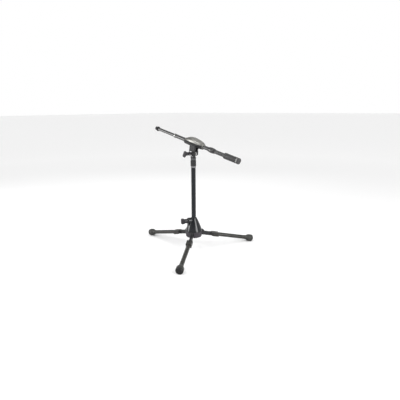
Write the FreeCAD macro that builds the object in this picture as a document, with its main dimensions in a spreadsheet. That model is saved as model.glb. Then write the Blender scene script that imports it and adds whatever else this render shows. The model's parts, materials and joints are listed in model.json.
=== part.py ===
"""Low microphone stand with a telescopic boom, built from separate pieces.

Frame: +Z up, origin on the floor under the column's axis.  The three legs point to 60, 180 and
300 degrees.  The boom lies in the XZ plane, with its microphone end towards -X and raised, and its
counterweight towards +X.  Lengths are millimetres and angles are degrees.
"""
import FreeCAD, Part
import math
import os
import re
import Sketcher

Vector = FreeCAD.Vector
Rotation = FreeCAD.Rotation
Placement = FreeCAD.Placement

# The driving dimensions.  Heights are above the floor.  Distances in the leg group run outwards
# from the column's axis along the leg.  Distances in the boom group run along the boom from the
# column's axis, and are negative towards the microphone.
SIZES = {
    # clearances, broken edges, and the factor that keeps a quarter-circle arc a little under 90 degrees
    "gap": 0.3,
    "fit": 0.05,
    "edge": 0.6,
    "quarter": 1.001,
    # legs
    "first_leg_angle": 60,
    "leg_axis_height": 76.4,
    "leg_slope": 12.7,
    "arm_width": 10,
    "arm_height": 17,
    "arm_start": 14,
    "pin_distance": 90,
    "pin_radius": 3,
    "pin_head_radius": 5,
    "pin_head_height": 1.3,
    "knuckle_width": 23,
    "knuckle_height": 19,
    "knuckle_web": 102,
    "knuckle_end": 117,
    "spigot_length": 22,
    "leg_tube_radius": 8.8,
    "leg_tube_wall": 1.5,
    "leg_tube_end": 280,
    "foot_start": 250,
    "foot_shoulder": 260,
    "foot_bulb": 268,
    "foot_end": 290,
    "foot_mouth_radius": 9.6,
    "foot_neck_radius": 10.2,
    "foot_radius": 15.6,
    "foot_curve": 11,
    "foot_round": 5,
    # hub, cup and cone
    "hub_radius": 24,
    "hub_bottom": 59.5,
    "hub_web_top": 66,
    "hub_top": 84,
    "gusset_start": 36.3,
    "gusset_end": 47,
    "gusset_bottom": 65,
    "gusset_top": 84,
    "gusset_bevel": 5,
    "cup_radius": 36,
    "cup_waist_radius": 35,
    "cup_bottom_radius": 29.5,
    "cup_floor_radius": 30.5,
    "cup_bottom": 55,
    "cup_floor_top": 58,
    "cup_waist": 61.5,
    "cup_straight": 73.5,
    "cup_round": 7,
    "cup_wall": 3,
    "cup_screw_radius": 3,
    "cup_screw_head": 6,
    "cup_screw_bottom": 53,
    "cup_screw_top": 65,
    "seam": 80.5,
    "cone_lip": 2,
    "cone_top": 141,
    "cone_top_radius": 12.2,
    "cone_curve": 300,
    "cone_wall": 3.5,
    "cone_cavity_top": 119,
    "cone_cavity_radius": 17,
    "socket_radius": 12.6,
    "socket_top": 133,
    # base clamp knob
    "knob_angle": 240,
    "knob_height": 127,
    "boss_radius": 13.8,
    "boss_end": 28,
    "boss_bevel": 1.5,
    "rib_width": 18,
    "rib_root": 21,
    "rib_foot": 26,
    "rib_bottom": 27,
    "knob_neck_radius": 9.6,
    "knob_wing_start": 43,
    "knob_end": 57,
    "knob_wing_height": 23.5,
    "knob_wing_width": 12,
    "wing_round": 4,
    "wing_bevel": 2.5,
    "wing_overlap": 2,
    "knob_screw_radius": 4,
    "knob_screw_tip": 12.9,
    "knob_screw_end": 47,
    "pad_end": 12.6,
    # column
    "column_radius": 9.5,
    "column_bore": 8,
    "column_bottom": 68.3,
    "column_top": 372,
    "plug_bottom": 66.6,
    "plug_top": 78,
    "ring_radius": 10.7,
    "ring_bottom": 357,
    "ring_top": 363,
    "neck_radius": 10.1,
    "neck_top": 371,
    "collet_bottom": 350,
    "collet_split_bottom": 362,
    "collet_split_width": 1.2,
    "collet_flange": 9.7,
    "collet_nose_radius": 8,
    "collet_shoulder": 378,
    "collet_top": 384,
    "sleeve_radius": 11.6,
    "sleeve_web_bottom": 386,
    "sleeve_top": 388,
    "sleeve_bevel": 1.5,
    "insert_radius": 10.8,
    "insert_top": 380,
    # telescopic rod and lock nut
    "rod_radius": 6.5,
    "rod_bore": 5,
    "rod_bottom": 110,
    "rod_top": 386,
    "guide_bottom": 102,
    "guide_top": 122,
    "stud_radius": 5,
    "stud_bevel": 1,
    "stud_bottom": 366,
    "stud_top": 405,
    "nut_radius": 11,
    "nut_top": 396,
    # swivel post
    "pivot_height": 417,
    "post_radius": 11.4,
    "post_shoulder": 402,
    "post_bevel": 1.5,
    "tongue_width": 8,
    "tongue_radius": 9,
    "tongue_bottom": 398,
    "disc_width": 1,
    "bolt_radius": 4,
    # boom clamp
    "boom_height": 459,
    "boom_slope": 14,
    "clamp_start": -42,
    "clamp_end": 57,
    "parting_height": 4,
    "liner_radius": 8.8,
    "leg_inside": 5.3,
    "near_leg_outside": 14,
    "near_leg_radius": 12.5,
    "near_leg_flare": 3,
    "far_leg_outside": 9.3,
    "far_leg_radius": 8,
    "far_leg_flare": 13,
    "pivot_nut_radius": 7.2,
    "pivot_nut_width": 5,
    "cover_screw_radius": 2.6,
    "cover_screw_start": 10,
    "hook_inside": 12,
    "hook_width": 4,
    "hook_reach": 13.5,
    "hook_bar": 4,
    "hook_bend": 415.5,
    "hook_height": 452,
    "hook_centre": 3,
    # tilt handle
    "handle_radius": 7,
    "handle_wing_start": 46.5,
    "handle_end": 57.5,
    "handle_wing_length": 25,
    "handle_wing_width": 9.5,
    "handle_tilt": -10,
    "washer_radius": 9,
    "washer_width": 1.2,
    "bolt_end": 40,
    # boom
    "boom_radius": 8,
    "boom_bore": 7,
    "boom_start": -103,
    "boom_end": 230,
    "bush_radius": 8.9,
    "bush_start": -106,
    "bush_length": 6,
    "bush_depth": 18,
    "extension_radius": 6.75,
    "extension_bore": 5.75,
    "extension_start": -208.5,
    "extension_end": 60,
    "extension_guide_start": 46,
    "extension_guide_end": 66,
    "thread_radius": 7.94,
    "thread_bevel": 0.9,
    "thread_start": -223.5,
    "thread_bore": 4,
    "flange_start": -213.5,
    "flange_radius": 10,
    "flange_spigot": 16,
    # stop collar
    "collar_start": 86,
    "collar_end": 118,
    "collar_end_radius": 9.2,
    "collar_curve": 68,
    "collar_screw_radius": 2.5,
    "collar_screw_top": 10.3,
    # counterweight
    "weight_start": 167,
    "weight_end": 237.5,
    "weight_radius": 12,
    "weight_ring_start": 225.5,
    "weight_round": 2,
}

# One cross-section of the boom clamp per row: distance along the boom, height above the boom's
# axis, depth below it, and half width.
CLAMP_SECTIONS = [
    ("nose", -42, 10.5, 14, 11.5),
    ("slope", -22, 19, 15, 14.8),
    ("crest", 2, 24, 14.5, 17.4),
    ("back", 28, 21.8, 13.5, 16.6),
    ("tail", 50, 17, 12.5, 13.8),
    ("end", 57, 13, 11, 11.2),
]

doc = FreeCAD.newDocument("MicrophoneStand")
sheet = doc.addObject("Spreadsheet::Sheet", "Sizes")


def fill_sheet():
    """Write each driving dimension into its own cell, with its name as the alias."""
    table = dict(SIZES)
    for name, distance, above, below, half_width in CLAMP_SECTIONS:
        table[name + "_distance"] = distance
        table[name + "_above"] = above
        table[name + "_below"] = below
        table[name + "_half_width"] = half_width
    for row, (alias, number) in enumerate(table.items(), start=1):
        sheet.set("A%d" % row, alias)
        sheet.set("B%d" % row, str(number))
        sheet.setAlias("B%d" % row, alias)
    doc.recompute()
    return set(table)


ALIASES = fill_sheet()


def link(text):
    """Put the sheet's name in front of every alias in an expression."""
    def full_name(word):
        return "Sizes." + word.group() if word.group() in ALIASES else word.group()
    return re.sub(r"[a-z_]+", full_name, str(text))


def value(text):
    """The number that an expression of aliases stands for."""
    return float(sheet.evalExpression(link(text)))


def bind(item, **properties):
    """Bind each named property to an expression of aliases."""
    for name, text in properties.items():
        item.setExpression(name, link(text))


def origin_plane(body, role):
    return [item for item in body.Origin.OriginFeatures if item.Role == role][0]


def draw_loop(sketch, outline):
    """Draw a closed outline of (x, y) or (x, y, arc radius) corners and bind every size.

    A third entry makes the stretch to the next corner an arc of that radius.  It bulges to the
    right of the way travelled, or to the left where the entry starts with a minus sign.
    """
    corners = [Vector(value(corner[0]), value(corner[1]), 0) for corner in outline]
    ends = []
    for index, corner in enumerate(outline):
        here = corners[index]
        there = corners[(index + 1) % len(corners)]
        if len(corner) == 2:
            edge = sketch.addGeometry(Part.LineSegment(here, there))
            ends.append((edge, 1, 2))
            continue
        chord = there - here
        radius = abs(value(corner[2]))
        side = Vector(chord.y, -chord.x, 0).normalize()
        if corner[2].startswith("-"):
            side = side * -1
        sagitta = radius - math.sqrt(radius ** 2 - chord.Length ** 2 / 4)
        middle = (here + there) * 0.5 + side * sagitta
        edge = sketch.addGeometry(Part.Arc(here, middle, there))
        forwards = sketch.getPoint(edge, 1).distanceToPoint(here) < 1e-6
        ends.append((edge, 1, 2) if forwards else (edge, 2, 1))
        number = sketch.addConstraint(Sketcher.Constraint("Radius", edge, radius))
        sketch.setExpression("Constraints[%d]" % number, link(corner[2].lstrip("-")))
    for index, corner in enumerate(outline):
        edge, start, finish = ends[index]
        before = ends[index - 1]
        sketch.addConstraint(Sketcher.Constraint("Coincident", before[0], before[2], edge, start))
        for kind, text, axis in (("DistanceX", corner[0], -2), ("DistanceY", corner[1], -1)):
            if value(text) == 0:
                sketch.addConstraint(Sketcher.Constraint("PointOnObject", edge, start, axis))
                continue
            rule = Sketcher.Constraint(kind, -1, 1, edge, start, value(text))
            number = sketch.addConstraint(rule)
            sketch.setExpression("Constraints[%d]" % number, link(text))


def draw_hole(sketch, centre_x, centre_y, radius):
    """Draw a circle and bind its centre and radius."""
    centre = Vector(value(centre_x), value(centre_y), 0)
    circle = sketch.addGeometry(Part.Circle(centre, Vector(0, 0, 1), value(radius)))
    number = sketch.addConstraint(Sketcher.Constraint("Radius", circle, value(radius)))
    sketch.setExpression("Constraints[%d]" % number, link(radius))
    for kind, text, axis in (("DistanceX", centre_x, -2), ("DistanceY", centre_y, -1)):
        if value(text) == 0:
            sketch.addConstraint(Sketcher.Constraint("PointOnObject", circle, 3, axis))
            continue
        number = sketch.addConstraint(Sketcher.Constraint(kind, -1, 1, circle, 3, value(text)))
        sketch.setExpression("Constraints[%d]" % number, link(text))


def section_sketch(body, name):
    """A sketch on the body's XZ plane: its x is the body's X, and its y is the body's Z."""
    sketch = body.newObject("Sketcher::SketchObject", name + "_section")
    sketch.AttachmentSupport = (origin_plane(body, "XZ_Plane"), "")
    sketch.MapMode = "FlatFace"
    return sketch


def turned(name, outline, place=Placement()):
    """A body turned about its own Z axis from (radius, height) corners."""
    body = doc.addObject("PartDesign::Body", name)
    sketch = section_sketch(body, name)
    draw_loop(sketch, outline)
    turning = body.newObject("PartDesign::Revolution", name + "_turning")
    turning.Profile = sketch
    turning.ReferenceAxis = (sketch, ["V_Axis"])
    turning.Angle = 360
    body.Placement = place
    return body


def ring(name, outer, inner, bottom, top, place=Placement()):
    """A plain tube between two heights."""
    corners = [(inner, bottom), (outer, bottom), (outer, top), (inner, top)]
    return turned(name, corners, place)


def disc(name, radius, bottom, top, place=Placement()):
    """A plain round bar between two heights."""
    return ring(name, radius, "0", bottom, top, place)


def plate(name, outline, width, place=Placement(), hole=None):
    """A body padded equally to both sides of its XZ plane."""
    body = doc.addObject("PartDesign::Body", name)
    sketch = section_sketch(body, name)
    draw_loop(sketch, outline)
    if hole:
        draw_hole(sketch, *hole)
    pad = body.newObject("PartDesign::Pad", name + "_pad")
    pad.Profile = sketch
    pad.SideType = "Symmetric"
    bind(pad, Length=width)
    body.Placement = place
    return body


def box(name, low, high, place=Placement()):
    """A Part::Box between two corners given as expressions, then placed."""
    item = doc.addObject("Part::Box", name)
    bind(item, Length="(%s) - (%s)" % (high[0], low[0]))
    bind(item, Width="(%s) - (%s)" % (high[1], low[1]))
    bind(item, Height="(%s) - (%s)" % (high[2], low[2]))
    corner = Vector(value(low[0]), value(low[1]), value(low[2]))
    item.Placement = place.multiply(Placement(corner, Rotation()))
    return item


def fuse(name, items):
    result = doc.addObject("Part::MultiFuse", name)
    result.Shapes = items
    result.Refine = True
    return result


def cut(name, base, tool):
    result = doc.addObject("Part::Cut", name)
    result.Base = base
    result.Tool = tool
    return result


def common(name, base, tool):
    result = doc.addObject("Part::MultiCommon", name)
    result.Shapes = [base, tool]
    return result


def along(height, slope, angle):
    """A frame on the column's axis with its Z axis outwards and down, and its X axis downwards."""
    turn = Rotation(Vector(0, 0, 1), angle) * Rotation(Vector(0, 1, 0), 90 + slope)
    return Placement(Vector(0, 0, height), turn)


def sideways(place, down, distance, side):
    """A frame in place with its Z axis along place's Y axis, or against it for side -1."""
    turn = Rotation(Vector(1, 0, 0), -90 * side)
    return place.multiply(Placement(Vector(down, 0, distance), turn))


LEG_NAMES = ("right", "left", "front")
LEG_ANGLES = [value("first_leg_angle") + 120 * index for index in range(3)]
BOOM = along(value("boom_height"), value("boom_slope"), 0)
# The tilt pivot in the boom's own frame: its depth below the boom's axis and its distance along it.
PIVOT_DEPTH = "(boom_height - pivot_height) * cos(boom_slope * 1deg)"
PIVOT_DISTANCE = "(boom_height - pivot_height) * sin(boom_slope * 1deg)"
PIVOT = sideways(BOOM, value(PIVOT_DEPTH), value(PIVOT_DISTANCE), 1)
HANDLE = sideways(BOOM, value(PIVOT_DEPTH), value(PIVOT_DISTANCE), -1)


def leg_frame(angle):
    return along(value("leg_axis_height"), value("leg_slope"), angle)


def make_leg(name, angle):
    """Hinge pin, forked knuckle, tube and rubber foot of one leg."""
    frame = leg_frame(angle)
    pin_frame = sideways(frame, 0, value("pin_distance"), 1)
    half = "knuckle_width / 2"
    head = half + " + gap"
    tip = head + " + pin_head_height"
    pin_outline = [
        ("0", "-(%s)" % tip),
        ("pin_head_radius", "-(%s)" % tip),
        ("pin_head_radius", "-(%s)" % head),
        ("pin_radius", "-(%s)" % head),
        ("pin_radius", head),
        ("pin_head_radius", head),
        ("pin_head_radius", tip),
        ("0", tip),
    ]
    pin = turned("hinge_pin_" + name, pin_outline, pin_frame)

    side = [
        ("-knuckle_height / 2", "pin_distance"),
        ("-knuckle_height / 2", "knuckle_end"),
        ("knuckle_height / 2", "knuckle_end"),
        ("knuckle_height / 2", "pin_distance"),
    ]
    bar = plate("knuckle_bar_" + name, side, "knuckle_width", frame)
    nose = disc("knuckle_nose_" + name, "knuckle_height / 2", "-knuckle_width / 2", half, pin_frame)
    spigot_end = "knuckle_end + spigot_length"
    spigot_radius = "leg_tube_radius - leg_tube_wall"
    spigot = disc("knuckle_spigot_" + name, spigot_radius, "knuckle_end", spigot_end, frame)
    solid = fuse("knuckle_solid_" + name, [bar, nose, spigot])
    slot_half = "arm_width / 2 + gap"
    slot_low = ("-knuckle_height", "-(%s)" % slot_half, "pin_distance - knuckle_height")
    slot_high = ("knuckle_height", slot_half, "knuckle_web")
    slot = box("knuckle_slot_" + name, slot_low, slot_high, frame)
    hole = disc("knuckle_hole_" + name, "pin_radius + fit", "-knuckle_width", "knuckle_width", pin_frame)
    clevis = cut("leg_knuckle_" + name, cut("knuckle_fork_" + name, solid, slot), hole)

    bore = "leg_tube_radius - leg_tube_wall"
    tube = ring("leg_tube_" + name, "leg_tube_radius", bore, "knuckle_end", "leg_tube_end", frame)

    foot_outline = [
        ("leg_tube_radius", "foot_start"),
        ("foot_mouth_radius", "foot_start"),
        ("foot_neck_radius", "foot_shoulder", "foot_curve"),
        ("foot_radius", "foot_bulb"),
        ("foot_radius", "foot_end - foot_round", "foot_round * quarter"),
        ("foot_radius - foot_round", "foot_end"),
        ("0", "foot_end"),
        ("0", "leg_tube_end"),
        ("leg_tube_radius", "leg_tube_end"),
    ]
    blank = turned("foot_blank_" + name, foot_outline, frame)
    reach = "foot_end * 1.2"
    under = box("foot_floor_" + name, ("-(%s)" % reach, "-(%s)" % reach, "-foot_end"), (reach, reach, "0"))
    foot = cut("foot_" + name, blank, under)
    return [pin, clevis, tube, foot]


def make_hub():
    """The three-armed hub that carries the legs and holds the column's socket."""
    hub_outline = [
        ("cup_screw_radius", "hub_bottom"),
        ("hub_radius", "hub_bottom"),
        ("hub_radius", "hub_top"),
        ("socket_radius", "hub_top"),
        ("socket_radius", "hub_web_top"),
        ("cup_screw_radius", "hub_web_top"),
    ]
    hub = turned("hub_ring", hub_outline)
    arms = []
    for name, angle in zip(LEG_NAMES, LEG_ANGLES):
        frame = leg_frame(angle)
        # The lower corner at the pin is round, so that the leg can fold down past it.  The upper
        # corner is square: the knuckle's web rests against it when the leg is spread.
        side = [
            ("-arm_height / 2", "arm_start"),
            ("-arm_height / 2", "knuckle_web - gap"),
            ("0", "knuckle_web - gap"),
            ("0", "pin_distance + arm_height / 2", "-arm_height / 2 * quarter"),
            ("arm_height / 2", "pin_distance"),
            ("arm_height / 2", "arm_start"),
        ]
        arm = plate("arm_bar_" + name, side, "arm_width", frame, ("0", "pin_distance", "pin_radius"))
        trim = disc("arm_trim_" + name, "socket_radius", "0", "hub_top * 2")
        arms.append(cut("arm_" + name, arm, trim))
        lug_outline = [
            ("gusset_start", "gusset_bottom"),
            ("gusset_end", "gusset_bottom"),
            ("gusset_end", "gusset_top - gusset_bevel"),
            ("gusset_end - gusset_bevel", "gusset_top"),
            ("gusset_start", "gusset_top"),
        ]
        place = Placement(Vector(), Rotation(Vector(0, 0, 1), angle))
        arms.append(plate("arm_lug_" + name, lug_outline, "arm_width", place))
    return fuse("leg_hub", [hub] + arms)


def make_cup():
    """The bowl-shaped cover under the hub, with a window for each arm, and its screw."""
    outline = [
        ("cup_screw_radius + fit", "cup_bottom"),
        ("cup_bottom_radius", "cup_bottom", "cup_round"),
        ("cup_waist_radius", "cup_waist"),
        ("cup_radius", "cup_straight"),
        ("cup_radius", "seam"),
        ("cup_radius - cup_wall", "seam"),
        ("cup_radius - cup_wall", "cup_straight"),
        ("cup_floor_radius", "cup_floor_top"),
        ("cup_screw_radius + fit", "cup_floor_top"),
    ]
    shell = turned("cup_shell", outline)
    windows = []
    for name, angle in zip(LEG_NAMES, LEG_ANGLES):
        place = Placement(Vector(), Rotation(Vector(0, 0, 1), angle))
        low = ("hub_radius", "-arm_width / 2 - gap", "cup_bottom")
        high = ("cup_radius * 2", "arm_width / 2 + gap", "seam * 2")
        windows.append(box("cup_window_" + name, low, high, place))
    cup = cut("base_cup", shell, fuse("cup_windows", windows))
    screw_outline = [
        ("0", "cup_screw_bottom"),
        ("cup_screw_head - edge", "cup_screw_bottom"),
        ("cup_screw_head", "cup_screw_bottom + edge"),
        ("cup_screw_head", "cup_bottom"),
        ("cup_screw_radius", "cup_bottom"),
        ("cup_screw_radius", "cup_screw_top"),
        ("0", "cup_screw_top"),
    ]
    return [cup, turned("cup_screw", screw_outline)]


def make_cone():
    """The cone casting with its ribbed clamp boss, the column's socket sleeve and the thrust pad."""
    bore = "column_radius + fit"
    outline = [
        (bore, "cone_top"),
        ("cone_top_radius - edge", "cone_top"),
        ("cone_top_radius", "cone_top - edge", "-cone_curve"),
        ("cup_radius", "seam + cone_lip"),
        ("cup_radius", "seam"),
        ("cup_radius - cone_wall", "seam"),
        ("cone_cavity_radius", "cone_cavity_top"),
        ("socket_radius", "cone_cavity_top"),
        ("socket_radius", "socket_top"),
        (bore, "socket_top"),
    ]
    shell = turned("cone_shell", outline)
    boss_frame = along(value("knob_height"), 0, value("knob_angle"))
    boss_outline = [
        ("knob_screw_radius + fit", "socket_radius / 2"),
        ("boss_radius", "socket_radius / 2"),
        ("boss_radius", "boss_end - boss_bevel"),
        ("boss_radius - boss_bevel", "boss_end"),
        ("knob_screw_radius + fit", "boss_end"),
    ]
    boss = turned("cone_boss", boss_outline, boss_frame)
    rib_side = [
        ("0", "rib_root"),
        ("0", "boss_end - boss_bevel"),
        ("boss_radius", "boss_end"),
        ("rib_bottom", "boss_end"),
        ("rib_bottom", "rib_foot"),
    ]
    rib = plate("cone_rib", rib_side, "rib_width", boss_frame)
    bore_outline = [
        ("0", "seam"),
        ("socket_radius", "seam"),
        ("socket_radius", "socket_top"),
        (bore, "socket_top"),
        (bore, "cone_top * 2"),
        ("0", "cone_top * 2"),
    ]
    column_bore = turned("cone_bore", bore_outline)
    reach = "cup_radius"
    screw_bore = disc("cone_screw_bore", "knob_screw_radius + fit", "0", reach, boss_frame)
    solid = fuse("cone_solid", [shell, boss, rib])
    cone = cut("base_cone", cut("cone_bored", solid, column_bore), screw_bore)
    pipe = ring("socket_pipe", "socket_radius", bore, "hub_web_top", "socket_top")
    sleeve_bore = disc("socket_screw_bore", "knob_screw_radius + fit", "0", reach, boss_frame)
    sleeve = cut("column_socket", pipe, sleeve_bore)
    pad = disc("thrust_pad", "knob_screw_radius", "column_radius + gap", "pad_end", boss_frame)
    return [cone, sleeve, pad]


def t_handle(name, frame, sizes):
    """A T-shaped handle: a round neck along the frame's Z axis and a wing across its X axis."""
    neck_radius, neck_start, wing_start, end, wing_length, wing_width, bore_radius, bore_end = sizes
    neck_outline = [
        (bore_radius, neck_start),
        (neck_radius + " - edge", neck_start),
        (neck_radius, neck_start + " + edge"),
        (neck_radius, wing_start + " + wing_overlap"),
        ("0", wing_start + " + wing_overlap"),
        ("0", bore_end),
        (bore_radius, bore_end),
    ]
    neck = turned(name + "_neck", neck_outline, frame)
    half = wing_length + " / 2"
    wing_outline = [
        ("-(%s) + wing_bevel" % half, wing_start),
        (half + " - wing_bevel", wing_start),
        (half, wing_start + " + wing_bevel"),
        (half, end + " - wing_round", "wing_round * quarter"),
        (half + " - wing_round", end),
        ("-(%s) + wing_round" % half, end, "wing_round * quarter"),
        ("-(%s)" % half, end + " - wing_round"),
        ("-(%s)" % half, wing_start + " + wing_bevel"),
    ]
    wing = plate(name + "_wing", wing_outline, wing_width, frame)
    hole = disc(name + "_hole", bore_radius, "0", bore_end, frame)
    return cut(name, fuse(name + "_solid", [neck, wing]), hole)


def make_base_knob():
    """The T-shaped knob that clamps the column in its socket, and its screw."""
    frame = along(value("knob_height"), 0, value("knob_angle"))
    sizes = ("knob_neck_radius", "boss_end + gap", "knob_wing_start", "knob_end")
    sizes += ("knob_wing_height", "knob_wing_width", "knob_screw_radius", "knob_screw_end")
    knob = t_handle("base_knob", frame, sizes)
    screw = disc("base_knob_screw", "knob_screw_radius", "knob_screw_tip", "knob_screw_end", frame)
    return [knob, screw]


def make_column():
    """The outer tube with its bottom plug, top ring and the split collet of the twist clutch."""
    tube = ring("column_tube", "column_radius", "column_bore", "column_bottom", "column_top")
    plug_outline = [
        ("0", "plug_bottom"),
        ("column_radius", "plug_bottom"),
        ("column_radius", "column_bottom"),
        ("column_bore", "column_bottom"),
        ("column_bore", "plug_top"),
        ("0", "plug_top"),
    ]
    plug = turned("column_plug", plug_outline)
    collar_outline = [
        ("column_radius", "ring_bottom"),
        ("ring_radius - edge", "ring_bottom"),
        ("ring_radius", "ring_bottom + edge"),
        ("ring_radius", "ring_top"),
        ("neck_radius", "ring_top"),
        ("neck_radius", "neck_top"),
        ("column_radius", "neck_top"),
    ]
    collar = turned("column_ring", collar_outline)
    collet_outline = [
        ("rod_radius + fit", "collet_bottom"),
        ("column_bore", "collet_bottom"),
        ("column_bore", "column_top"),
        ("collet_flange", "column_top"),
        ("collet_flange", "collet_shoulder"),
        ("collet_nose_radius", "collet_top"),
        ("rod_radius + fit", "collet_top"),
    ]
    whole = turned("collet_whole", collet_outline)
    low = ("-collet_split_width / 2", "0", "collet_split_bottom")
    high = ("collet_split_width / 2", "column_radius * 2", "sleeve_top")
    split = box("collet_split", low, high)
    collet = cut("clutch_collet", whole, split)
    return [tube, plug, collar, collet]


def make_clutch():
    """The twist sleeve of the height clutch and the threaded metal insert inside it."""
    sleeve_outline = [
        ("insert_radius", "ring_top + gap"),
        ("sleeve_radius - edge", "ring_top + gap"),
        ("sleeve_radius", "ring_top + gap + edge"),
        ("sleeve_radius", "sleeve_top - sleeve_bevel"),
        ("sleeve_radius - sleeve_bevel", "sleeve_top"),
        ("rod_radius + gap", "sleeve_top"),
        ("rod_radius + gap", "sleeve_web_bottom"),
        ("collet_nose_radius + gap * 2", "collet_top + gap"),
        ("collet_flange + gap * 2", "insert_top"),
        ("insert_radius", "insert_top"),
    ]
    sleeve = turned("clutch_sleeve", sleeve_outline)
    insert_outline = [
        ("neck_radius + fit", "ring_top + gap"),
        ("insert_radius", "ring_top + gap"),
        ("insert_radius", "insert_top"),
        ("collet_flange + gap", "insert_top"),
        ("collet_flange + gap", "neck_top + gap"),
        ("neck_radius + fit", "neck_top + gap"),
    ]
    return [sleeve, turned("clutch_insert", insert_outline)]


def make_rod():
    """The inner rod with its guide, its threaded stud and the lock nut."""
    rod = ring("inner_rod", "rod_radius", "rod_bore", "rod_bottom", "rod_top")
    guide_outline = [
        ("0", "guide_bottom"),
        ("column_bore - fit", "guide_bottom"),
        ("column_bore - fit", "rod_bottom"),
        ("rod_bore", "rod_bottom"),
        ("rod_bore", "guide_top"),
        ("0", "guide_top"),
    ]
    guide = turned("rod_guide", guide_outline)
    stud_outline = [
        ("0", "stud_bottom"),
        ("stud_radius", "stud_bottom"),
        ("stud_radius", "stud_top - stud_bevel"),
        ("stud_radius - stud_bevel", "stud_top"),
        ("0", "stud_top"),
    ]
    stud = turned("rod_stud", stud_outline)
    nut_outline = [
        ("stud_radius", "sleeve_top + gap"),
        ("nut_radius - edge", "sleeve_top + gap"),
        ("nut_radius", "sleeve_top + gap + edge"),
        ("nut_radius", "nut_top - edge"),
        ("nut_radius - edge", "nut_top"),
        ("stud_radius", "nut_top"),
    ]
    return [rod, guide, stud, turned("lock_nut", nut_outline)]


def make_post():
    """The swivel post on top of the rod, with a flat tongue and a friction disc on each side."""
    bore = "stud_radius + fit"
    base_outline = [
        (bore, "nut_top + gap"),
        ("post_radius - edge", "nut_top + gap"),
        ("post_radius", "nut_top + gap + edge"),
        ("post_radius", "post_shoulder - post_bevel"),
        ("post_radius - post_bevel", "post_shoulder"),
        (bore, "post_shoulder"),
    ]
    base = turned("post_base", base_outline)
    side = [
        ("-tongue_radius", "tongue_bottom"),
        ("tongue_radius", "tongue_bottom"),
        ("tongue_radius", "pivot_height"),
        ("-tongue_radius", "pivot_height"),
    ]
    bar = plate("tongue_bar", side, "tongue_width")
    pivot_frame = Placement(Vector(0, 0, value("pivot_height")), Rotation(Vector(1, 0, 0), -90))
    half = "tongue_width / 2"
    top = disc("tongue_top", "tongue_radius", "-tongue_width / 2", half, pivot_frame)
    stud_bore = disc("post_stud_bore", bore, "nut_top", "stud_top + gap")
    pivot_bore = disc("post_pivot_bore", "bolt_radius + fit", "-tongue_width", "tongue_width", pivot_frame)
    solid = fuse("post_solid", [base, bar, top])
    post = cut("swivel_post", cut("post_bored", solid, stud_bore), pivot_bore)
    inside = "bolt_radius + fit"
    far = ring("disc_far", "tongue_radius", inside, half, half + " + disc_width", pivot_frame)
    low = "-(%s) - disc_width" % half
    near = ring("disc_near", "tongue_radius", inside, low, "-tongue_width / 2", pivot_frame)
    pair = doc.addObject("Part::Compound", "friction_discs")
    pair.Links = [far, near]
    return [post, pair]


def clamp_blank():
    """The whale-backed outside of the boom clamp, lofted through its cross-sections."""
    sections = []
    for name, distance, above, below, half_width in CLAMP_SECTIONS:
        section = doc.addObject("Part::Ellipse", "clamp_section_" + name)
        bind(section, MajorRadius="(%s_above + %s_below) / 2" % (name, name))
        bind(section, MinorRadius=name + "_half_width")
        section.Placement = BOOM.multiply(Placement(Vector((below - above) / 2, 0, distance), Rotation()))
        sections.append(section)
    blank = doc.addObject("Part::Loft", "clamp_blank")
    blank.Sections = sections
    blank.Solid = True
    return blank


def clamp_leg(name, low, high, radius, flare):
    """One leg from the clamp down to the tilt pivot, between two values of Y."""
    middle = BOOM.multiply(Placement(Vector(0, (value(low) + value(high)) / 2, 0), Rotation()))
    top = "boom_radius / 2"
    side = [
        (top, "%s - %s - %s" % (PIVOT_DISTANCE, radius, flare)),
        (top, "%s + %s + %s" % (PIVOT_DISTANCE, radius, flare)),
        (PIVOT_DEPTH, "%s + %s" % (PIVOT_DISTANCE, radius)),
        (PIVOT_DEPTH, "%s - %s" % (PIVOT_DISTANCE, radius)),
    ]
    web = plate(name + "_web", side, "(%s) - (%s)" % (high, low), middle)
    eye = disc(name + "_eye", radius, low, high, PIVOT)
    return [web, eye]


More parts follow.
